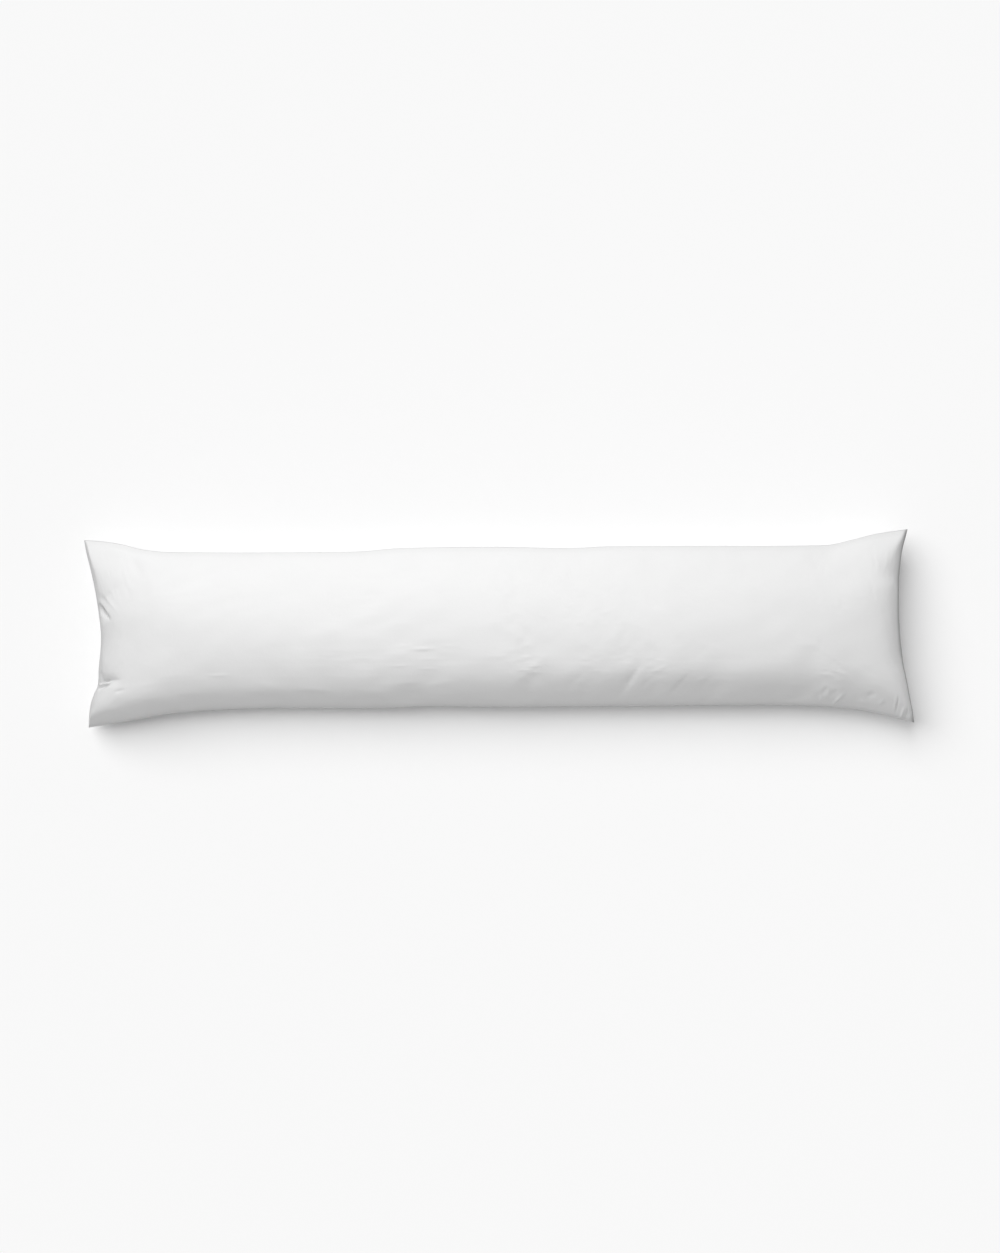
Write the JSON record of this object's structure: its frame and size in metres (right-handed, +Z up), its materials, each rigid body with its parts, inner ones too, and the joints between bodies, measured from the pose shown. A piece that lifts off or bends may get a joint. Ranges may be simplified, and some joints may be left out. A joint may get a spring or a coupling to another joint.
{
  "type": "feather pillow insert",
  "caption": "Long white feather pillow insert with a full crown, drawn-in knife-edge seams, pointed corners and one stitched-shut end; lies flat and fills a removable cover.",
  "frame": {"origin": "middle of the footprint, on the surface the pillow lies on", "axes": "+X along the pillow towards the end with no closing seam, +Y across it, +Z up from the surface"},
  "size_m": [1.512, 0.362, 0.1349],
  "materials": {
    "cotton": "white, close-woven plain cotton, slightly crisp, matt with a faint sheen"
  },
  "bodies": {
    "root": {"pillow": "cotton"}
  },
  "joints": []
}
